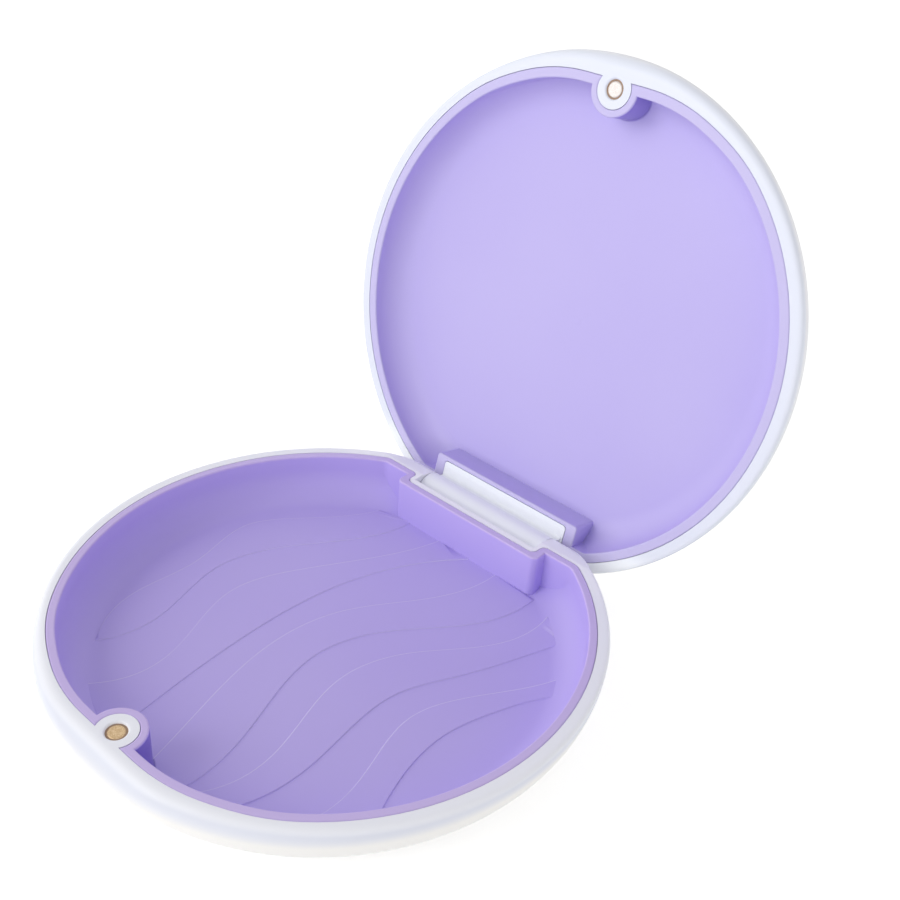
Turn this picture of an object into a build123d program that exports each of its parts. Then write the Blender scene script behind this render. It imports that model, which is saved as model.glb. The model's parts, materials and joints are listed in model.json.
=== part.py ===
"""Round hinged denture case: white outer shells, snap-in coloured liners, magnet closure.

Millimetres, +Z up. The origin is the centre of the base's flat underside, the rims part
on a level plane, the hinge lies along X behind +Y and the lid stands open on its stop.
"""
import os
from math import cos, isclose, radians, sin, sqrt, tan

from build123d import *

os.makedirs("parts", exist_ok=True)

# Outside of the case
rim_radius = 43.0
base_height = 11.5
lid_height = 9.5
rim_land = 0.5  # upright band beside the parting plane, before the quarter round
shell_wall = 1.4
parting_gap = 0.1  # between the two rims when shut

# Finger bevel at the front: a 45 degree cut, swept round a circle and flattened in the middle
base_bevel_growth = 1.4  # the sweep's radius beyond the rim's
base_bevel_centre_y = 3.0
base_bevel_land = 1.4  # shell rim left between the liner and the middle of the bevel
lid_bevel_growth = 3.6
lid_bevel_centre_y = 5.0
lid_bevel_land = 2.4

# Liners
rim_width = 2.0  # shell rim outside the liner
liner_gap = 0.05  # slip fit between liner and shell
liner_front_inset = 4.05  # flat front edge of the liner, inside the rim radius
liner_front_growth = 2.5  # front arc's radius beyond the rim's
liner_front_centre_y = 5.5
front_blend = 30.0  # rounds the joins between flat front, front arc and full round
liner_floor = 1.3
base_depth = 7.8
base_liner_wall = 1.3
base_bulkhead_wall = 1.3  # liner in front of the hinge
base_bulkhead_cheek = 1.3  # liner beside the hinge
base_floor_round = 5.2
lid_depth = 5.5
lid_liner_wall = 1.6
lid_block_wall = 0.8
lid_block_cheek = 2.0
lid_floor_round = 5.0
base_step_round = 1.1
lid_step_round = 0.6
corner_round = 2.0
liner_edge_round = 0.25
seat_ring_radius = 20.0  # rib in each shell that carries the liner's floor
seat_ring_width = 1.2

# Hinge
hinge_inset = 6.06  # axis inside the rim radius
hinge_drop = 3.78  # axis below the middle of the parting gap
open_angle = 103.84
barrel_radius = 3.3
barrel_length = 26.6
barrel_end_gap = 0.15
trough_gap = 0.3
pocket_wall = 1.0  # base wall between the liner and the barrel
ear_wall = 0.95  # ear between the liner and the pin
ear_cheek = 0.8  # ear beside the liner's step
neck_setback = 0.95  # neck's face behind the front of the barrel
neck_wall = 2.5  # lid rim between the liner and the neck's face
neck_cheek = 0.4
neck_round = 0.5
back_offset = 1.03  # flat back of the lid behind the axis
stop_gap = 0.1
pin_radius = 0.9
pin_length = 34.5
pin_clearance = 0.05

# Magnet closure
boss_inset = 5.5
boss_radius = 3.0
boss_ring = 1.15
magnet_radius = 1.25
magnet_height = 2.0
magnet_recess = 0.2
magnet_bore_gap = 0.25
magnet_mouth_round = 0.4
metal_chamfer = 0.15  # on the magnets' and the pin's edges

# Raised waves on the base liner's floor: left edge and right edge of each, front to back,
# drawn for a floor of this radius
wave_height = 0.15
wave_floor_radius = 34.5
wave_sink = 0.5  # how far the waves run into the walls that they meet
waves = [
    (
        [(-25.0, -24.5), (-29.2, -15.5), (-29.0, -3.0), (-31.1, 9.5), (-25.6, 18.5), (-18.5, 29.5)],
        [(-24.0, -25.5), (-22.0, -15.5), (-25.5, -1.0), (-22.1, 10.2), (-15.0, 21.5), (-12.0, 33.0)],
    ),
    (
        [(-16.5, -31.0), (-13.8, -20.0), (-19.1, -3.2), (-15.3, 8.6), (-8.8, 20.5), (-4.5, 34.0)],
        [(-6.5, -34.5), (-8.3, -21.0), (-9.4, -4.0), (-8.0, 11.0), (-4.6, 21.0), (2.0, 31.0)],
    ),
    (
        [(1.5, -34.5), (-2.9, -19.2), (-5.2, -4.5), (-3.1, 6.0), (2.6, 15.5), (8.0, 31.0)],
        [(7.9, -34.0), (6.1, -20.8), (1.4, -3.0), (3.8, 5.5), (10.7, 15.1), (16.5, 30.5)],
    ),
    (
        [(9.4, -33.5), (12.0, -21.5), (7.7, -3.8), (10.4, 5.6), (16.9, 14.5), (20.8, 29.0)],
        [(14.8, -31.5), (16.9, -18.0), (15.8, -0.5), (19.7, 8.7), (24.7, 21.4), (27.0, 28.0)],
    ),
    (
        [(23.6, -25.5), (23.4, -15.5), (20.5, -2.0), (23.0, 5.0), (29.3, 15.6), (31.5, 22.0)],
        [(29.6, -18.5), (27.2, -11.8), (26.1, -2.0), (28.5, 7.4), (32.5, 15.5), (35.0, 18.0)],
    ),
]

# Places worked out from the sizes above
hinge_y = rim_radius - hinge_inset
hinge_z = base_height + parting_gap / 2 - hinge_drop
hinge_axis = Axis((0, hinge_y, hinge_z), (1, 0, 0))
back_y = hinge_y + back_offset
neck_y = hinge_y - barrel_radius + neck_setback
barrel_half = barrel_length / 2
ear_half = barrel_half + barrel_end_gap
trough_radius = barrel_radius + trough_gap
liner_radius = rim_radius - rim_width
liner_front_y = liner_front_inset - rim_radius
boss_y = boss_inset - rim_radius
magnet_bore_depth = magnet_recess + magnet_height
reach = 2 * rim_radius  # tools that cut right through run this far
turn = radians(open_angle)
from_top = (Align.CENTER, Align.CENTER, Align.MAX)


def tub(radius, depth, edge_round):
    """Disc that hangs below the rim plane, with a rounded lower edge."""
    disc = Cylinder(radius, depth, align=from_top)
    return fillet(disc.edges().sort_by(Axis.Z)[0], edge_round)


def along_x(section, half_length):
    """Prism across the case, equally long to the left and to the right."""
    return extrude(section, half_length, both=True)


def yz_polygon(*points):
    return Plane.YZ * make_face(Polyline(*points, close=True))


def yz_circle(radius):
    return Plane.YZ * Pos(hinge_y, hinge_z) * Circle(radius)


def cup_outside(height, bevel_growth, bevel_centre_y, bevel_land):
    """Outer form of one half, rim plane at z = 0 and body below it."""
    bevel_y = liner_front_y - liner_gap - bevel_land
    mouth = Pos(0, bevel_centre_y) * Circle(rim_radius + bevel_growth)
    mouth &= Pos(0, bevel_y + reach) * Rectangle(2 * reach, 2 * reach)
    mouth = fillet(mouth.vertices().filter_by(lambda v: v.Y < 0), front_blend)
    return tub(rim_radius, height, height - rim_land) & extrude(mouth, -height, taper=-45)


def liner_plan(inset, step_half, step_y, chord_y, step_round):
    """Outline of a liner at the rim: round, flattened at the front, stepped round the hinge."""
    front = Pos(0, liner_front_centre_y) * Circle(rim_radius + liner_front_growth - inset)
    front_y = liner_front_y + inset
    length = chord_y - front_y
    band = Pos(0, front_y + length / 2) * Rectangle(reach, length)
    plan = Circle(liner_radius - inset) & front & band
    plan = fillet(plan.vertices().filter_by(lambda v: v.Y < 0), front_blend - inset)
    plan = fillet(plan.vertices().group_by(Axis.Y)[-1], corner_round)
    plan -= Pos(0, step_y + reach / 2) * Rectangle(2 * step_half, reach)
    step_corners = plan.vertices().filter_by(lambda v: isclose(abs(v.X), step_half, abs_tol=liner_gap))
    if inset > 0:  # inside a liner only the block in front of the hinge is rounded
        step_corners = step_corners.group_by(Axis.Y)[0]
    return fillet(step_corners, step_round)


def boss(radius, depth):
    return Pos(0, boss_y) * Cylinder(radius, depth, align=from_top)


def cup_shell(outside, pocket_plan, height, depth):
    """Shell with its liner pocket, the liner's seat ring and the bored magnet post."""
    pocket_depth = height - shell_wall
    pocket = extrude(pocket_plan, -height)
    pocket &= tub(rim_radius - shell_wall, pocket_depth, pocket_depth - rim_land)
    pocket -= boss(boss_radius, height)
    seat = Cylinder(seat_ring_radius, pocket_depth, align=from_top)
    seat -= Cylinder(seat_ring_radius - seat_ring_width, pocket_depth, align=from_top)
    seat -= Cylinder(rim_radius, depth + liner_floor, align=from_top)
    bore = boss(magnet_radius + magnet_bore_gap, magnet_bore_depth)
    shell = outside - (pocket - seat) - bore
    mouth = shell.edges().filter_by(GeomType.CIRCLE).filter_by(
        lambda e: isclose(e.radius, magnet_radius + magnet_bore_gap, abs_tol=0.001)
    )
    return fillet(mouth.sort_by(Axis.Z)[-1], magnet_mouth_round)


def cup_liner(plan, inner_plan, height, depth, wall, floor_round):
    """Liner: fits the shell's pocket, with a ring of its own round the magnet post."""
    pocket_depth = height - shell_wall - liner_gap
    outside = extrude(plan, -(depth + liner_floor))
    outside &= tub(rim_radius - shell_wall - liner_gap, pocket_depth, pocket_depth - rim_land)
    hollow = extrude(inner_plan, -depth) & tub(liner_radius - wall, depth, floor_round)
    hollow -= boss(boss_radius + liner_gap + boss_ring, height)
    liner = outside - hollow - boss(boss_radius + liner_gap, height)
    return fillet(liner.edges().group_by(Axis.Z)[-1], liner_edge_round)


def cup_magnet():
    disc = Pos(0, boss_y, -magnet_recess) * Cylinder(magnet_radius, magnet_height, align=from_top)
    return chamfer(disc.edges(), metal_chamfer)


def on_base(cup):
    return Pos(0, 0, base_height) * cup


def on_lid(cup):
    return Pos(0, 0, base_height + parting_gap) * Rot(0, 180, 0) * cup


def opened(piece):
    return piece.rotate(hinge_axis, -open_angle)


def base_plan(inset=0, wall=0, cheek=0):
    step_y = hinge_y - trough_radius - pocket_wall - liner_gap
    chord_y = hinge_y - pin_radius - ear_wall - liner_gap
    step_half = ear_half + ear_cheek + liner_gap + cheek
    return liner_plan(inset, step_half, step_y - wall, chord_y - inset, base_step_round)


def lid_plan(inset=0, wall=0, cheek=0):
    step_y = neck_y - neck_wall - liner_gap
    chord_y = back_y - shell_wall - liner_gap
    step_half = barrel_half + neck_cheek + liner_gap + cheek
    return liner_plan(inset, step_half, step_y - wall, chord_y - inset, lid_step_round)


def hinge_relief():
    """Space behind and above the ears, down to the shelf that stops the opened lid."""
    face_y = hinge_y - barrel_radius * cos(turn)
    face_z = hinge_z + barrel_radius * sin(turn)
    slope = -1 / tan(turn)
    top_y = face_y - (base_height - face_z) / slope
    shelf_y = hinge_y + (back_offset + stop_gap) * cos(turn)
    shelf_z = hinge_z - (back_offset + stop_gap) * sin(turn)
    section = yz_polygon(
        (top_y, base_height + reach),
        (top_y, base_height),
        (face_y, face_z),
        (hinge_y, hinge_z),
        (shelf_y, shelf_z),
        (shelf_y + reach, shelf_z - reach * slope),
        (shelf_y + reach, base_height + reach),
    )
    return along_x(section, reach) - along_x(yz_circle(barrel_radius), reach)


def barrel_trough():
    """Slot between the ears in which the lid's barrel and neck turn."""
    front_y = hinge_y - trough_radius
    above = yz_polygon(
        (front_y, hinge_z), (reach, hinge_z), (reach, base_height + reach), (front_y, base_height + reach)
    )
    return along_x(above, ear_half) + along_x(yz_circle(trough_radius), ear_half)


def pin_place(radius, length):
    """Round bar on the hinge axis, its right end blind in the right ear."""
    right_end = pin_length / 2
    return Pos(right_end - length / 2, hinge_y, hinge_z) * Rot(0, 90, 0) * Cylinder(radius, length)


def base_shell():
    outside = cup_outside(base_height, base_bevel_growth, base_bevel_centre_y, base_bevel_land)
    pocket_plan = base_plan(-liner_gap, -liner_gap, -liner_gap)
    shell = on_base(cup_shell(outside, pocket_plan, base_height, base_depth))
    shell -= hinge_relief()
    shell -= barrel_trough()
    return shell - pin_place(pin_radius, pin_length / 2 + rim_radius)


def wave_solid(left, right):
    size = (liner_radius - base_liner_wall - base_floor_round) / wave_floor_radius
    left_edge = Spline([(x * size, y * size) for x, y in left])
    right_edge = Spline([(x * size, y * size) for x, y in right])
    front = Line(left_edge @ 0, right_edge @ 0)
    back = Line(left_edge @ 1, right_edge @ 1)
    outline = make_face([left_edge, back, right_edge, front])
    return Pos(0, 0, -base_depth - liner_floor / 2) * extrude(outline, liner_floor / 2 + wave_height)


def base_liner():
    inner_plan = base_plan(base_liner_wall, base_bulkhead_wall, base_bulkhead_cheek)
    liner = cup_liner(base_plan(), inner_plan, base_height, base_depth, base_liner_wall, base_floor_round)
    rise = base_floor_round - wave_height
    merge_radius = liner_radius - base_liner_wall - base_floor_round + sqrt(base_floor_round**2 - rise**2)
    floor = Circle(merge_radius + wave_sink) & offset(inner_plan, wave_sink)
    floor -= Pos(0, boss_y) * Circle(boss_radius + liner_gap + boss_ring - wave_sink)
    floor_area = extrude(floor, -base_height)
    for left, right in waves:
        liner += wave_solid(left, right) & floor_area
    return on_base(liner)


def base_magnet():
    return on_base(cup_magnet())


def lid_shell():
    outside = cup_outside(lid_height, lid_bevel_growth, lid_bevel_centre_y, lid_bevel_land)
    pocket_plan = lid_plan(-liner_gap, -liner_gap, -liner_gap)
    shell = on_lid(cup_shell(outside, pocket_plan, lid_height, lid_depth))
    lid_z = base_height + parting_gap
    behind = yz_polygon((back_y, lid_z - reach), (reach, lid_z - reach), (reach, reach), (back_y, reach))
    shell -= along_x(behind, reach)
    neck = yz_polygon((neck_y, hinge_z), (back_y, hinge_z), (back_y, lid_z), (neck_y, lid_z))
    shell += along_x(neck, barrel_half)
    inner_corner = shell.edges().filter_by(Axis.X).filter_by(
        lambda e: isclose(e.center().Y, neck_y) and isclose(e.center().Z, lid_z)
    )
    shell = fillet(inner_corner, neck_round)
    shell += along_x(yz_circle(barrel_radius), barrel_half)
    shell -= along_x(yz_circle(pin_radius + pin_clearance), barrel_length)
    return opened(shell)


def lid_liner():
    inner_plan = lid_plan(lid_liner_wall, lid_block_wall, lid_block_cheek)
    liner = cup_liner(lid_plan(), inner_plan, lid_height, lid_depth, lid_liner_wall, lid_floor_round)
    return opened(on_lid(liner))


def lid_magnet():
    return opened(on_lid(cup_magnet()))


def hinge_pin():
    pin = pin_place(pin_radius, pin_length)
    return chamfer(pin.edges().filter_by(GeomType.CIRCLE), metal_chamfer)


pieces = [base_shell, base_liner, base_magnet, lid_shell, lid_liner, lid_magnet, hinge_pin]
for piece in pieces:
    export_step(piece(), f"parts/{piece.__name__}.step")
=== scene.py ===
import json
from math import radians

import bmesh
import bpy
import numpy as np
from mathutils import Euler, Matrix, Vector


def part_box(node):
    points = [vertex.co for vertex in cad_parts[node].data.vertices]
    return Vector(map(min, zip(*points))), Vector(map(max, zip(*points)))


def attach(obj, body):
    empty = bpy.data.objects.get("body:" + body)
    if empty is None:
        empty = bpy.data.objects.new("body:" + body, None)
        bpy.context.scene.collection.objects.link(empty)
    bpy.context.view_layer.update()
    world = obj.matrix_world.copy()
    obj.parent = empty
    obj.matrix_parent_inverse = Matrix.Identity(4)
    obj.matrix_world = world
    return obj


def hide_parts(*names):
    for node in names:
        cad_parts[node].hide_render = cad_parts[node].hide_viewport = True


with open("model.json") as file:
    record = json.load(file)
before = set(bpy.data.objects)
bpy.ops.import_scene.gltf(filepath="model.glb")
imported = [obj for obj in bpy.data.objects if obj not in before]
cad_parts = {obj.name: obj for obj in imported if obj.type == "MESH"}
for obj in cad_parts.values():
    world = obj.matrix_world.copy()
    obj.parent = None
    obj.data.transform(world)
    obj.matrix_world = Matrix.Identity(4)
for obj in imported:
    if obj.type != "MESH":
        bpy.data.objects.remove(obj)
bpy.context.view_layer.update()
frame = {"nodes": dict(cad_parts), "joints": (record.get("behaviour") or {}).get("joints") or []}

mm = 0.001
white = (1, 1, 1, 1)
nodes = frame["nodes"]
print("frame loaded:", ", ".join(sorted(nodes)))

# the lid stands open; openLid turns a point from the shut lid to there
joint = frame["joints"][0]
hingePoint = Vector(joint["pos_m"])
toHinge = Matrix.Translation(hingePoint)
openLid = toHinge @ Matrix.Rotation(-radians(joint["range_deg"][1]), 4, "X") @ toHinge.inverted()
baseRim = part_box("base_shell")[1].z
partingGap = 0.1 * mm


def placed(half, x, y, depth):
    # a point of one half, in mm; depth is below its rim plane
    if half == "base":
        return Vector((x * mm, y * mm, baseRim - depth * mm))
    return openLid @ Vector((x * mm, y * mm, baseRim + partingGap + depth * mm))


def link(name, mesh):
    piece = bpy.data.objects.new(name, mesh)
    bpy.context.collection.objects.link(piece)
    return piece


def remove(piece):
    mesh = piece.data
    bpy.data.objects.remove(piece)
    bpy.data.meshes.remove(mesh)


def asMesh(name, points, faces):
    mesh = bpy.data.meshes.new(name)
    mesh.from_pydata([tuple(point) for point in points], [], faces)
    mesh.validate()
    return mesh


def outward(mesh):
    # the mesh with its faces turned outward
    grid = bmesh.new()
    grid.from_mesh(mesh)
    bmesh.ops.recalc_face_normals(grid, faces=grid.faces)
    grid.to_mesh(mesh)
    grid.free()
    return mesh


def baked(piece, name):
    # the piece with its modifiers applied, as a plain mesh
    bpy.context.view_layer.update()
    evaluated = piece.evaluated_get(bpy.context.evaluated_depsgraph_get())
    mesh = bpy.data.meshes.new_from_object(evaluated)
    mesh.name = name
    remove(piece)
    return link(name, mesh)


# copies of the solids

copyRules = {"weld": 0.002, "flatAngle": 0.6}


def weldedCopy(node):
    grid = bmesh.new()
    grid.from_mesh(nodes[node].data)
    bmesh.ops.remove_doubles(grid, verts=grid.verts, dist=copyRules["weld"] * mm)
    flat = radians(copyRules["flatAngle"])
    bmesh.ops.dissolve_limit(grid, angle_limit=flat, verts=grid.verts, edges=grid.edges)
    grid.verts.index_update()
    return grid


def plainMesh(name, grid):
    faces = [[corner.index for corner in face.verts] for face in grid.faces]
    mesh = asMesh(name, [point.co for point in grid.verts], faces)
    grid.free()
    return mesh


# shells: a soft outer skin, cut to the solid's pocket, hinge and rim

skin = {
    "rimRadius": 43.0, "rimLand": 0.5, "linerFront": -38.95, "linerGap": 0.05,
    "inset": 0.035, "rimDrop": 0.01, "lip": 0.7, "crease": 1.1, "mouthCorner": 1.0,
    "centreRadius": 30.0, "farthest": 16.0, "halvings": 40, "around": 480, "sharpAngle": 32,
    "rows": ((-34, -27, 4), (-27, -17, 24), (-17, 16, 24), (16, 90, 20)),  # pitch from, to and rows between
}
shells = {
    "base_shell": {
        "height": 11.5, "bevelGrowth": 1.4, "bevelCentre": 3.0, "bevelLand": 1.4, "centreDepth": 5.0,
    },
    "lid_shell": {
        "height": 9.5, "bevelGrowth": 3.6, "bevelCentre": 5.0, "bevelLand": 2.4, "centreDepth": 4.6,
    },
}
knuckle = {"low": (-13.8, 33.0, 3.0), "high": (13.8, 41.5, 12.1)}  # round the shut lid's barrel and neck


def softMax(a, b, blend):
    # the larger of the two, rounded where they meet
    return np.maximum(a, b) + np.maximum(blend - np.abs(a - b), 0) ** 2 / (4 * blend)


def outside(form, x, y, depth):
    # signed distance from the outer form of one half; depth is below the rim plane
    bevelY = skin["linerFront"] - skin["linerGap"] - form["bevelLand"]
    sweep = np.hypot(x, y - form["bevelCentre"]) - skin["rimRadius"] - form["bevelGrowth"]
    bevel = (softMax(sweep, bevelY - y, skin["mouthCorner"]) - depth) / 2 ** 0.5
    edgeRound = form["height"] - skin["rimLand"]
    radius = np.hypot(x, y)
    beyond = np.maximum(radius - skin["rimRadius"] + edgeRound, 0)
    below = np.maximum(depth - skin["rimLand"], 0)
    inner = np.minimum(np.maximum(radius - skin["rimRadius"] + edgeRound, depth - skin["rimLand"]), 0)
    tub = np.hypot(beyond, below) + inner - edgeRound
    soft = softMax(tub, bevel, skin["crease"]) + skin["inset"]
    return softMax(soft, skin["rimDrop"] - depth, skin["lip"])


def bands(rings, count, closed=False):
    # faces between rings of points; closed also joins the last ring to the first
    faces = []
    for i in range(rings if closed else rings - 1):
        near, far = i * count, (i + 1) % rings * count
        for j in range(count):
            k = (j + 1) % count
            faces.append((near + j, near + k, far + k, far + j))
    return faces


def fan(ring, count, tip):
    # faces from one ring of points to a tip
    return [(ring * count + j, ring * count + (j + 1) % count, tip) for j in range(count)]


def skinHull(name, form):
    # rays from a ring inside the wall find the surface; row 0 lies on the rim plane, the last on the foot
    pitch = [np.linspace(start, end, rows, endpoint=False) for start, end, rows in skin["rows"]]
    pitch = np.radians(np.concatenate(pitch + [[90]]))
    around = np.linspace(0, 2 * np.pi, skin["around"], endpoint=False)
    pitch, around = np.meshgrid(pitch, around, indexing="ij")
    near, far = np.zeros_like(pitch), np.full_like(pitch, skin["farthest"])

    def at(reach):
        radius = skin["centreRadius"] + reach * np.cos(pitch)
        return radius * np.sin(around), radius * np.cos(around), form["centreDepth"] + reach * np.sin(pitch)

    for halving in range(skin["halvings"]):
        middle = (near + far) / 2
        inside = outside(form, *at(middle)) < 0
        near, far = np.where(inside, middle, near), np.where(inside, far, middle)
    x, y, depth = at(near)
    rows, count = x.shape
    points = [(x[i, j], y[i, j], depth[i, j]) for i in range(rows) for j in range(count)]
    faces = bands(rows, count)
    for row in (0, rows - 1):
        faces += fan(row, count, len(points))
        points.append((0, 0, depth[row].mean()))
    half = name.split("_")[0]
    points = [placed(half, *point) for point in points]
    return link(name + "Hull", outward(asMesh(name + "Hull", points, faces)))


def block(name, low, high, place):
    # box between two corners, in mm, then moved
    xs, ys, zs = zip(low, high)
    points = [place @ (Vector((x, y, z)) * mm) for x in xs for y in ys for z in zs]
    faces = [(0, 1, 3, 2), (4, 6, 7, 5), (0, 4, 5, 1), (2, 3, 7, 6), (0, 2, 6, 4), (1, 5, 7, 3)]
    return link(name, outward(asMesh(name, points, faces)))


def combine(piece, tool, operation, name):
    cut = piece.modifiers.new(operation.lower(), "BOOLEAN")
    cut.operation = operation
    cut.object = tool
    cut.solver = "EXACT"
    result = baked(piece, name)
    remove(tool)
    return result


def finished(piece, material, sharp):
    piece.data.materials.clear()
    piece.data.materials.append(material)
    piece.data.shade_smooth()
    piece.data.set_sharp_from_angle(angle=radians(sharp))
    weigh = piece.modifiers.new("evenNormals", "WEIGHTED_NORMAL")
    weigh.keep_sharp = True


def softShell(node, material):
    hull = skinHull(node, shells[node])
    if node == "lid_shell":
        hull = combine(hull, block("knuckle", knuckle["low"], knuckle["high"], openLid), "UNION", "lidHull")
    piece = link(node + "Solid", plainMesh(node + "Solid", weldedCopy(node)))
    piece = combine(piece, hull, "INTERSECT", node.replace("_shell", "OuterShell"))
    finished(piece, material, skin["sharpAngle"])
    print(piece.name, len(piece.data.polygons), "faces")
    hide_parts(node)
    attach(piece, node.split("_")[0])


# node trees

class Board:
    # a node tree to build on
    def __init__(self, tree):
        self.tree = tree

    def add(self, kind, settings, *inputs, out=0):
        # inputs fill the node's sockets in order, and None leaves a socket as it is
        # out picks the output that is handed back; "all" gives every one, by name
        node = self.tree.nodes.new(kind)
        for name, value in settings.items():
            setattr(node, name, value)
        for slot, value in zip(node.inputs, inputs):
            parts = value if isinstance(value, list) else [value]  # a list is several links to one socket
            for part in parts:
                if isinstance(part, Shade):
                    part.to(slot)
                elif part is not None:
                    slot.default_value = part
        if out == "all":
            return {socket.name: Shade(self, socket) for socket in node.outputs}
        return Shade(self, node.outputs[out])

    def maths(self, operation, *values):
        return self.add("ShaderNodeMath", {"operation": operation}, *values)

    def vectors(self, operation, *values):
        out = "Value" if operation in ("DOT_PRODUCT", "LENGTH") else "Vector"
        return self.add("ShaderNodeVectorMath", {"operation": operation}, *values, out=out)


class Shade:
    # one socket; the operators add Math nodes
    def __init__(self, board, socket):
        self.board = board
        self.socket = socket

    def __add__(self, other): return self.board.maths("ADD", self, other)
    def __sub__(self, other): return self.board.maths("SUBTRACT", self, other)
    def __rsub__(self, other): return self.board.maths("SUBTRACT", other, self)
    def __mul__(self, other): return self.board.maths("MULTIPLY", self, other)
    def __truediv__(self, other): return self.board.maths("DIVIDE", self, other)
    def __rtruediv__(self, other): return self.board.maths("DIVIDE", other, self)
    __radd__ = __add__
    __rmul__ = __mul__

    def to(self, socket):
        self.board.tree.links.new(self.socket, socket)


# raised waves on the base liner's floor: a soft-edged strip over each of the solid's ribs

waves = {
    # slopeFrom and slopeTo are how far outside its edge line a slope starts and ends
    "floor": 3.7, "rise": 0.17, "sink": 0.04, "slopeFrom": 0.2, "slopeTo": -0.08, "thickness": 0.35,
    "steps": 140, "rows": 16, "crest": 6 / 7, "wallReach": 36.9, "bulkheadReach": 31.4,
    "frontReach": 1.5, "frontShare": 0.15, "backReach": 0.3, "linePoints": 90, "weld": 0.001,
    # a left and a right edge for each wave, from the front to the bulkhead
    "edges": (
        (((-25.0, -24.5), (-29.2, -15.5), (-29.0, -3.0), (-31.1, 9.5), (-25.6, 18.5), (-18.5, 29.5)),
         ((-24.0, -25.5), (-22.0, -15.5), (-25.5, -1.0), (-22.1, 10.2), (-15.0, 21.5), (-12.0, 33.0))),
        (((-16.5, -31.0), (-13.8, -20.0), (-19.1, -3.2), (-15.3, 8.6), (-8.8, 20.5), (-4.5, 34.0)),
         ((-6.5, -34.5), (-8.3, -21.0), (-9.4, -4.0), (-8.0, 11.0), (-4.6, 21.0), (2.0, 31.0))),
        (((1.5, -34.5), (-2.9, -19.2), (-5.2, -4.5), (-3.1, 6.0), (2.6, 15.5), (8.0, 31.0)),
         ((7.9, -34.0), (6.1, -20.8), (1.4, -3.0), (3.8, 5.5), (10.7, 15.1), (16.5, 30.5))),
        (((9.4, -33.5), (12.0, -21.5), (7.7, -3.8), (10.4, 5.6), (16.9, 14.5), (20.8, 29.0)),
         ((14.8, -31.5), (16.9, -18.0), (15.8, -0.5), (19.7, 8.7), (24.7, 21.4), (27.0, 28.0))),
        (((23.6, -25.5), (23.4, -15.5), (20.5, -2.0), (23.0, 5.0), (29.3, 15.6), (31.5, 22.0)),
         ((29.6, -18.5), (27.2, -11.8), (26.1, -2.0), (28.5, 7.4), (32.5, 15.5), (35.0, 18.0))),
    ),
}

waveInputs = {
    "Left Edge": "Object", "Right Edge": "Object", "Rise": "Float", "Sink": "Float", "Slope From": "Float",
    "Slope To": "Float", "Thickness": "Float", "Steps": "Int", "Wall Reach": "Float",
    "Bulkhead Reach": "Float", "Material": "Material",
}


def smoothLine(points):
    # smooth line through the points, its end directions taken from the first and last four
    points = np.array(points)
    along = np.concatenate([[0], np.cumsum(np.hypot(*np.diff(points, axis=0).T))])
    step = np.diff(along)[:, None]
    rise = np.diff(points, axis=0) / step
    start = np.polyfit(along[:4] - along[0], points[:4], 3)[2]
    end = np.polyfit(along[-4:] - along[-1], points[-4:], 3)[2]
    size = len(points)
    left, right = np.zeros((size, size)), np.zeros((size, 2))
    left[0, 0] = left[-1, -1] = 1
    right[0], right[-1] = start, end
    for i in range(1, size - 1):
        before, after = step[i - 1, 0], step[i, 0]
        left[i, i - 1:i + 2] = after, 2 * (before + after), before
        right[i] = 3 * (after * rise[i - 1] + before * rise[i])
    slope = np.linalg.solve(left, right)
    line = []
    for at in np.linspace(0, along[-1], waves["linePoints"]):
        i = min(np.searchsorted(along, at, side="right") - 1, size - 2)
        span = step[i, 0]
        u = (at - along[i]) / span
        line.append((2 * u ** 3 - 3 * u ** 2 + 1) * points[i] + (u ** 3 - 2 * u ** 2 + u) * span * slope[i]
                    + (3 * u ** 2 - 2 * u ** 3) * points[i + 1] + (u ** 3 - u ** 2) * span * slope[i + 1])
    return line


def edgeCurve(name, points, frontWidth):
    # both ends run on a little, so that the wave ends inside the walls
    curve = bpy.data.curves.new(name, "CURVE")
    curve.dimensions = "3D"
    line = smoothLine(points)
    front, back = line[0] - line[1], line[-1] - line[-2]
    frontReach = min(waves["frontReach"], waves["frontShare"] * frontWidth)
    line = [line[0] + front * (frontReach / np.hypot(*front))] + line
    line.append(line[-1] + back * (waves["backReach"] / np.hypot(*back)))
    spline = curve.splines.new("POLY")
    spline.points.add(len(line) - 1)
    for point, (x, y) in zip(spline.points, line):
        point.co = (x * mm, y * mm, waves["floor"] * mm, 1)
    return link(name, curve)


def pick(board, chosen, first, second):
    # the second vector where chosen is 1
    return board.add("ShaderNodeMix", {"data_type": "VECTOR"}, chosen, None, None, None, first, second, out=1)


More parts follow.
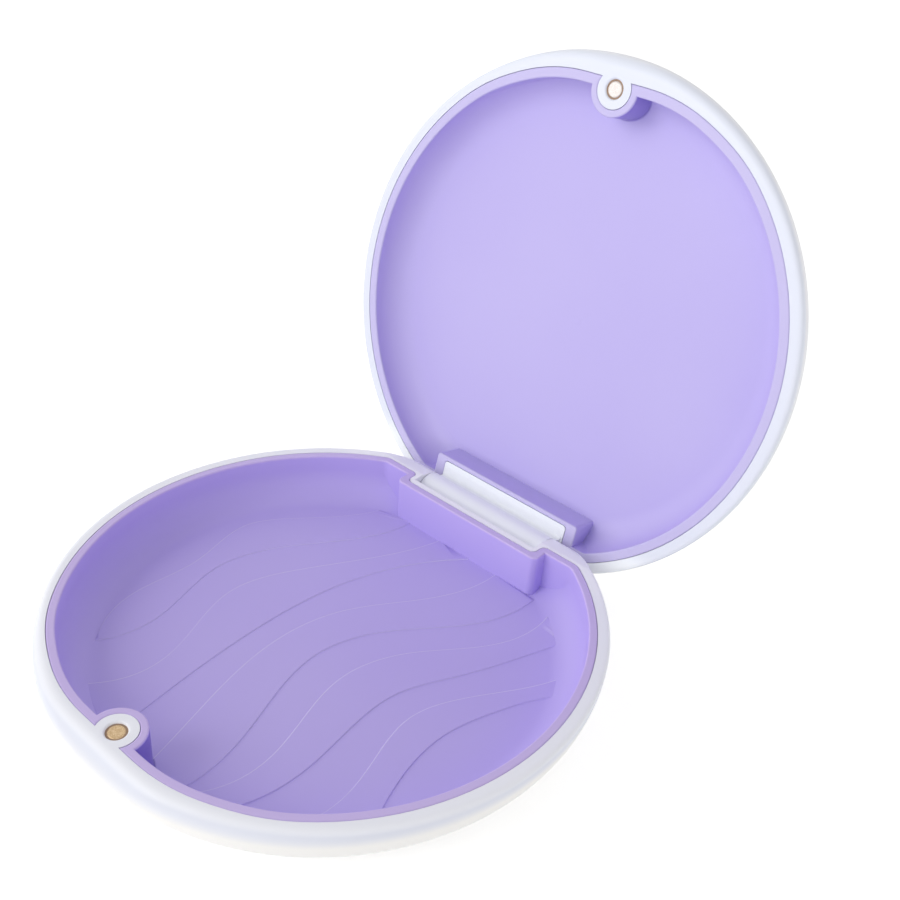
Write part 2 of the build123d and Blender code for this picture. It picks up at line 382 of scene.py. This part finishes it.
def waveTree():
    tree = bpy.data.node_groups.new("floorWave", "GeometryNodeTree")
    keys = {}
    for name, kind in waveInputs.items():
        socket = tree.interface.new_socket(name, in_out="INPUT", socket_type="NodeSocket" + kind)
        keys[name] = socket.identifier
    tree.interface.new_socket("Wave", in_out="OUTPUT", socket_type="NodeSocketGeometry")
    board = Board(tree)
    value = board.add("NodeGroupInput", {}, out="all")
    rows = waves["rows"]

    strip = board.add("GeometryNodeMeshGrid", {}, 1, 1, value["Steps"], rows)
    place = board.add("GeometryNodeInputPosition", {})
    grid = board.add("ShaderNodeSeparateXYZ", {}, place, out="all")
    along, across = grid["X"] + 0.5, grid["Y"] + 0.5
    sides = []
    for edge in ("Left Edge", "Right Edge"):
        line = board.add("GeometryNodeObjectInfo", {}, value[edge], out="Geometry")
        side = board.add("GeometryNodeSampleCurve", {"mode": "FACTOR"}, line, None, along, out="Position")
        sides.append(side)
    left, right = sides
    onRight = board.maths("GREATER_THAN", across, 0.5)
    near = pick(board, onRight, left, right)
    far = pick(board, onRight, right, left)

    # part is 0 at either edge and 1 on the two middle rows
    part = (0.5 - board.maths("ABSOLUTE", across - 0.5)) * (2 * (rows - 1) / (rows - 2))
    climb = board.add("ShaderNodeMapRange", {"interpolation_type": "SMOOTHERSTEP"},
                      part, 0, waves["crest"], 0, 1)
    way = part * (value["Slope From"] - value["Slope To"]) - value["Slope From"]
    inward = board.vectors("NORMALIZE", board.vectors("SUBTRACT", far, near))
    spot = board.vectors("ADD", near, board.vectors("SCALE", inward, None, None, way))
    x, y, z = board.add("ShaderNodeSeparateXYZ", {}, spot, out="all").values()
    radius = board.maths("SQRT", x * x + y * y)
    pull = board.maths("MINIMUM", value["Wall Reach"] / radius, 1)
    back = board.maths("MINIMUM", y * pull, value["Bulkhead Reach"])
    height = z - value["Sink"] + climb * (value["Rise"] + value["Sink"])
    target = board.add("ShaderNodeCombineXYZ", {}, x * pull, back, height)

    # painted highlight: the left slope is palest at its crest, the right one halfway up
    fromCrest = board.maths("ABSOLUTE", part - waves["crest"]) * ((rows - 2) / 2)
    crest = board.maths("MAXIMUM", 1 - fromCrest, 0)
    shine = (1 - onRight) * crest + onRight * climb * (1 - climb)
    marked = board.add("GeometryNodeStoreNamedAttribute", {"data_type": "FLOAT", "domain": "POINT"},
                       strip, None, "waveEdge", shine)
    top = board.add("GeometryNodeSetPosition", {}, marked, None, target)
    foot = board.add("GeometryNodeExtrudeMesh", {}, top, None, (0, 0, -1), value["Thickness"], False)
    both = board.add("GeometryNodeJoinGeometry", {}, [top, foot])
    closed = board.add("GeometryNodeMergeByDistance", {}, both, None, waves["weld"] * mm)
    real = board.add("GeometryNodeRealizeInstances", {}, closed)
    dressed = board.add("GeometryNodeSetMaterial", {}, real, None, value["Material"])
    board.add("NodeGroupOutput", {}, dressed, out="all")
    return tree, keys


def addWaves(material):
    tree, keys = waveTree()
    for number, (left, right) in enumerate(waves["edges"], 1):
        frontWidth = np.hypot(left[0][0] - right[0][0], left[0][1] - right[0][1])
        edges = [edgeCurve("edge", left, frontWidth), edgeCurve("edge", right, frontWidth)]
        settings = {
            "Left Edge": edges[0], "Right Edge": edges[1], "Rise": waves["rise"] * mm,
            "Sink": waves["sink"] * mm, "Slope From": waves["slopeFrom"] * mm,
            "Slope To": waves["slopeTo"] * mm, "Thickness": waves["thickness"] * mm,
            "Steps": waves["steps"], "Wall Reach": waves["wallReach"] * mm,
            "Bulkhead Reach": waves["bulkheadReach"] * mm, "Material": material,
        }
        piece = link("floorWave", bpy.data.meshes.new("floorWave"))
        grow = piece.modifiers.new("wave", "NODES")
        grow.node_group = tree
        for name, setting in settings.items():
            grow[keys[name]] = setting
        piece = baked(piece, f"floorWave{number}")
        outward(piece.data)
        piece.data.shade_smooth()
        for edge in edges:
            bpy.data.objects.remove(edge)
        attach(piece, "base")
    print("waves:", len(waves["edges"]))


# materials

def newMaterial(name, constants):
    material = bpy.data.materials.new(name)
    material.use_nodes = True
    surface = material.node_tree.nodes["Principled BSDF"]
    for socket, value in constants.items():
        surface.inputs[socket].default_value = value
    return material, Board(material.node_tree), surface.inputs


def mixColour(board, factor, first, second):
    skipped = [None] * 5
    return board.add("ShaderNodeMix", {"data_type": "RGBA"}, factor, *skipped, first, second, out=2)


def noise(board, place, scale, detail=2, roughness=0.5):
    return board.add("ShaderNodeTexNoise", {}, place, None, scale, detail, roughness)


def smoothStep(board, value, start, end, low, high):
    # start and end are in mm
    return board.add("ShaderNodeMapRange", {"interpolation_type": "SMOOTHSTEP"},
                     value, start * mm, end * mm, low, high)


# moulded plastics: the colour drifts with the depth below each half's rim plane, as painted light and shade:
# paler lilac rims are painted highlight, a darker band at or just below the rim is painted shade, and paler,
# warmer whites lower down are painted light each stop is a depth in mm and the colour there; "hinge" is a
# painted light, a paler and bluer white near the hinge axis

magnetY = -37.5
rimPlanes = {
    "base": {"post": placed("base", 0, magnetY, 0), "down": Vector((0, 0, -1))},
    "lid": {"post": placed("lid", 0, magnetY, 0), "down": openLid.to_3x3() @ Vector((0, 0, 1))},
}
plastics = {
    "white": {
        "stops": (
            (0.2, (0.885, 0.895, 0.96, 1)), (1.0, (0.755, 0.775, 0.87, 1)), (3.4, (0.95, 0.935, 0.915, 1)),
        ),
        "hinge": (0.955, 0.96, 0.99, 1), "ring": 0, "waveEdge": 0, "roughness": 0.33, "grain": 0.04,
    },
    # the lid's copy of the white, with its own painted shade at the rim and painted light lower down
    "coolWhite": {
        "stops": (
            (0.5, (0.745, 0.775, 0.875, 1)), (2.0, (0.84, 0.845, 0.89, 1)), (6.0, (0.96, 0.935, 0.93, 1)),
        ),
        "hinge": (0.92, 0.945, 0.99, 1), "ring": 0, "waveEdge": 0, "roughness": 0.33, "grain": 0.04,
    },
    "lilac": {
        "stops": (
            (0.1, (0.535, 0.485, 0.785, 1)), (0.5, (0.47, 0.39, 0.80, 1)), (6.0, (0.49, 0.425, 0.80, 1)),
        ),
        "hinge": None, "ring": 0.6, "waveEdge": 0, "roughness": 0.38, "grain": 0.05,
    },
    # the base liner's copy of the lilac, more saturated as painted shade, with a stronger painted shade on
    # the post ring and a painted highlight on the waves
    "deepLilac": {
        "stops": (
            (0.1, (0.575, 0.455, 0.825, 1)), (0.5, (0.50, 0.40, 0.84, 1)), (8.0, (0.51, 0.415, 0.87, 1)),
        ),
        "hinge": None, "ring": 0.85, "waveEdge": 0.8, "roughness": 0.38, "grain": 0.05,
    },
}
# how far the painted light near the hinge reaches
hingeLightZone = {"all": 4.5, "none": 9.0}  # mm from the hinge axis
# the thin ring round each magnet's post is darker below its edge: a deep violet painted shade on its side
postRingShade = {"near": 4.3, "far": 4.6, "top": 0.2, "below": 0.6, "colour": (0.13, 0.075, 0.50, 1)}
moulding = {
    "cloudScale": 30, "cloud": 0.1, "speckScale": 3000, "uneven": 0.08, "relief": 0.1, "specular": 0.4,
}


def mouldedPlastic(name, half):
    finish, plane = plastics[name], rimPlanes[half]
    constants = {"Specular IOR Level": moulding["specular"]}
    material, board, inputs = newMaterial(f"{name}Plastic{half.title()}", constants)
    place = board.add("ShaderNodeTexCoord", {}, out="Object")
    fromPost = board.vectors("SUBTRACT", place, plane["post"])
    depth = board.vectors("DOT_PRODUCT", fromPost, plane["down"])
    # painted light and shade: the colour steps through the stops with the depth
    stops = finish["stops"]
    colour = stops[0][1]
    for (start, _), (end, shade) in zip(stops, stops[1:]):
        colour = mixColour(board, smoothStep(board, depth, start, end, 0, 1), colour, shade)
    # painted light: the white turns paler and bluer near the hinge axis
    if finish["hinge"]:
        fromHinge = board.vectors("SUBTRACT", place, hingePoint)
        distance = board.vectors("LENGTH", board.vectors("CROSS_PRODUCT", fromHinge, (1, 0, 0)))
        hingeLit = smoothStep(board, distance, hingeLightZone["all"], hingeLightZone["none"], 1, 0)
        colour = mixColour(board, hingeLit, colour, finish["hinge"])
    # painted shade on the side of the thin ring round each post
    if finish["ring"]:
        distance = board.vectors("LENGTH", board.vectors("CROSS_PRODUCT", fromPost, plane["down"]))
        ring = smoothStep(board, distance, postRingShade["near"], postRingShade["far"], finish["ring"], 0)
        ring = ring * smoothStep(board, depth, postRingShade["top"], postRingShade["below"], 0, 1)
        colour = mixColour(board, ring, colour, postRingShade["colour"])
    paler = noise(board, place, moulding["cloudScale"]) * moulding["cloud"]
    if finish["waveEdge"]:
        # only the waves carry this attribute, a painted highlight on their slopes
        edge = board.add("ShaderNodeAttribute", {"attribute_name": "waveEdge"}, out="Fac")
        paler = paler + edge * finish["waveEdge"]
    mixColour(board, paler, colour, white).to(inputs["Base Color"])
    speck = noise(board, place, moulding["speckScale"])
    (speck * moulding["uneven"] + finish["roughness"]).to(inputs["Roughness"])
    bump = board.add("ShaderNodeBump", {}, finish["grain"], moulding["relief"] * mm, 1, speck)
    bump.to(inputs["Normal"])
    return material


# metals

metals = {
    "brass": {
        "bright": (0.80, 0.62, 0.39, 1), "dull": (0.56, 0.37, 0.19, 1), "metallic": 0.55, "roughness": 0.42,
    },
    "nickel": {
        "bright": (0.86, 0.83, 0.80, 1), "dull": (0.70, 0.64, 0.60, 1), "metallic": 0.5, "roughness": 0.38,
    },
    "steel": {
        "bright": (0.62, 0.62, 0.63, 1), "dull": (0.50, 0.50, 0.52, 1), "metallic": 1.0, "roughness": 0.3,
    },
}
stipple = {
    "scale": 6500, "detail": 3, "fine": 0.6, "low": 0.38, "high": 0.66,
    "uneven": 0.12, "strength": 0.35, "relief": 0.04,
}


def platedMetal(name):
    finish = metals[name]
    material, board, inputs = newMaterial(name, {"Metallic": finish["metallic"]})
    place = board.add("ShaderNodeTexCoord", {}, out="Object")
    speck = noise(board, place, stipple["scale"], stipple["detail"], stipple["fine"])
    worn = board.add("ShaderNodeMapRange", {}, speck, stipple["low"], stipple["high"], 0, 1)
    mixColour(board, worn, finish["dull"], finish["bright"]).to(inputs["Base Color"])
    (finish["roughness"] + worn * stipple["uneven"]).to(inputs["Roughness"])
    bump = board.add("ShaderNodeBump", {}, stipple["strength"], stipple["relief"] * mm, 1, speck)
    bump.to(inputs["Normal"])
    return material


# dull dark brown ring in the bore round each magnet, just below its face

magnetSeat = {
    "inner": 1.22, "outer": 1.53, "recess": 0.2, "drop": 0.12, "depth": 1.2, "around": 64,
    "dark": (0.24, 0.15, 0.10, 1), "pale": (0.40, 0.27, 0.18, 1), "roughness": 0.6, "cloudScale": 1500,
}


def seatMaterial():
    material, board, inputs = newMaterial("magnetSeat", {"Roughness": magnetSeat["roughness"]})
    place = board.add("ShaderNodeTexCoord", {}, out="Object")
    cloud = noise(board, place, magnetSeat["cloudScale"])
    mixColour(board, cloud, magnetSeat["dark"], magnetSeat["pale"]).to(inputs["Base Color"])
    return material


def addMagnetSeat(half, material):
    # a short tube below the magnet's face
    count = magnetSeat["around"]
    points = []
    corners = (("inner", "drop"), ("outer", "drop"), ("outer", "depth"), ("inner", "depth"))
    for radius, drop in corners:
        for j in range(count):
            turn = 2 * np.pi * j / count
            x, y = magnetSeat[radius] * np.sin(turn), magnetY + magnetSeat[radius] * np.cos(turn)
            points.append(placed(half, x, y, magnetSeat["recess"] + magnetSeat[drop]))
    faces = bands(len(corners), count, closed=True)
    ring = link(half + "MagnetSeat", outward(asMesh(half + "MagnetSeat", points, faces)))
    ring.data.materials.append(material)
    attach(ring, half)


# small mark where the plastic ran into the lid liner's mould

gateMark = {
    "x": 1.8, "y": 0.0, "ceiling": 5.5, "radius": 0.55, "rise": 0.05, "sink": 0.1, "around": 32, "rings": 5,
}


def addGateMark(material):
    # a low dome, sunk a little into the ceiling
    count, rings = gateMark["around"], gateMark["rings"]
    profile = [(gateMark["radius"], -gateMark["sink"])]
    for turn in np.linspace(0, np.pi / 2, rings, endpoint=False):
        profile.append((gateMark["radius"] * np.cos(turn), gateMark["rise"] * np.sin(turn)))
    points = []
    for radius, rise in profile:
        for turn in np.linspace(0, 2 * np.pi, count, endpoint=False):
            x, y = gateMark["x"] + radius * np.sin(turn), gateMark["y"] + radius * np.cos(turn)
            points.append(placed("lid", x, y, gateMark["ceiling"] - rise))
    faces = bands(len(profile), count) + fan(rings, count, len(points)) + fan(0, count, len(points) + 1)
    for rise in (gateMark["rise"], -gateMark["sink"]):
        points.append(placed("lid", gateMark["x"], gateMark["y"], gateMark["ceiling"] - rise))
    mark = link("gateMark", outward(asMesh("gateMark", points, faces)))
    mark.data.materials.append(material)
    mark.data.shade_smooth()
    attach(mark, "lid")


# pieces

baseWhite, lidWhite = mouldedPlastic("white", "base"), mouldedPlastic("coolWhite", "lid")
baseLilac, lidLilac = mouldedPlastic("deepLilac", "base"), mouldedPlastic("lilac", "lid")
softShell("base_shell", baseWhite)
softShell("lid_shell", lidWhite)
plain = {
    "base_liner": baseLilac, "lid_liner": lidLilac, "base_magnet": platedMetal("brass"),
    "lid_magnet": platedMetal("nickel"), "hinge_pin": platedMetal("steel"),
}
for node, material in plain.items():
    nodes[node].material_slots[0].material = material
addWaves(baseLilac)
seat = seatMaterial()
for half in ("base", "lid"):
    addMagnetSeat(half, seat)
addGateMark(lidLilac)
print("materials:", len(bpy.data.materials))

# studio

studio = {  # metres and watts
    "floorSize": 3.0, "floorLift": 0.45, "paper": (0.92, 0.92, 0.92, 1),
    "skyTop": 0.52, "skyLean": 0.75, "skyRim": 2.6, "skyFall": 3.4, "skyFoot": -0.06,
    "keyPower": 1.4, "keySize": 0.4, "keyPlace": (-0.27, -0.58, 0.46), "keyAim": (0, 0.02, 0.03),
}
view = {  # mm, and degrees for the turn
    "lens": 45.38, "sensor": 36, "near": 5, "place": (96.54, -90.95, 125.39), "turn": (57.06, -3.86, 42.01),
}


def seenDirectly(board):
    # 1 for camera and mirror-like rays
    path = board.add("ShaderNodeLightPath", {}, out="all")
    return path["Is Camera Ray"] + path["Is Glossy Ray"] + path["Is Transmission Ray"]


def addFloor():
    reach = studio["floorSize"] / 2
    corners = [(-reach, -reach, 0), (reach, -reach, 0), (reach, reach, 0), (-reach, reach, 0)]
    floor = link("floor", asMesh("floor", corners, [(0, 1, 2, 3)]))
    material, board, inputs = newMaterial("floorPaper", {
        "Roughness": 1.0, "Base Color": studio["paper"], "Specular IOR Level": 0, "Emission Color": white,
    })
    (seenDirectly(board) * studio["floorLift"]).to(inputs["Emission Strength"])
    floor.data.materials.append(material)


def addWorld():
    # brighter round the horizon than overhead, and darker to the right; seen directly it is plain white
    world = bpy.data.worlds.new("studio")
    bpy.context.scene.world = world
    world.use_nodes = True
    board = Board(world.node_tree)
    background = world.node_tree.nodes["Background"].inputs
    background["Color"].default_value = white
    direction = board.add("ShaderNodeTexCoord", {}, out="Generated")
    way = board.add("ShaderNodeSeparateXYZ", {}, direction, out="all")
    above = board.maths("GREATER_THAN", way["Z"], studio["skyFoot"])
    low = above * board.maths("POWER", 1 - board.maths("MAXIMUM", way["Z"], 0), studio["skyFall"])
    top = (1 - way["X"] * studio["skyLean"]) * studio["skyTop"]
    sky = low * (studio["skyRim"] - top) + top
    seen = seenDirectly(board)
    (seen + (1 - seen) * sky).to(background["Strength"])


def addKey():
    lamp = bpy.data.lights.new("key", "AREA")
    lamp.energy = studio["keyPower"]
    lamp.size = studio["keySize"]
    key = link("key", lamp)
    key.location = studio["keyPlace"]
    key.rotation_euler = (Vector(studio["keyAim"]) - key.location).to_track_quat("-Z", "Y").to_euler()


def addCamera():
    camera = link("camera", bpy.data.cameras.new("camera"))
    camera.data.lens = view["lens"]
    camera.data.sensor_width = view["sensor"]
    camera.data.clip_start = view["near"] * mm
    camera.location = Vector(view["place"]) * mm
    camera.rotation_euler = Euler([radians(angle) for angle in view["turn"]])
    bpy.context.scene.camera = camera


addFloor()
addWorld()
addKey()
addCamera()
bpy.context.scene.view_settings.view_transform = "Standard"
print("studio ready")
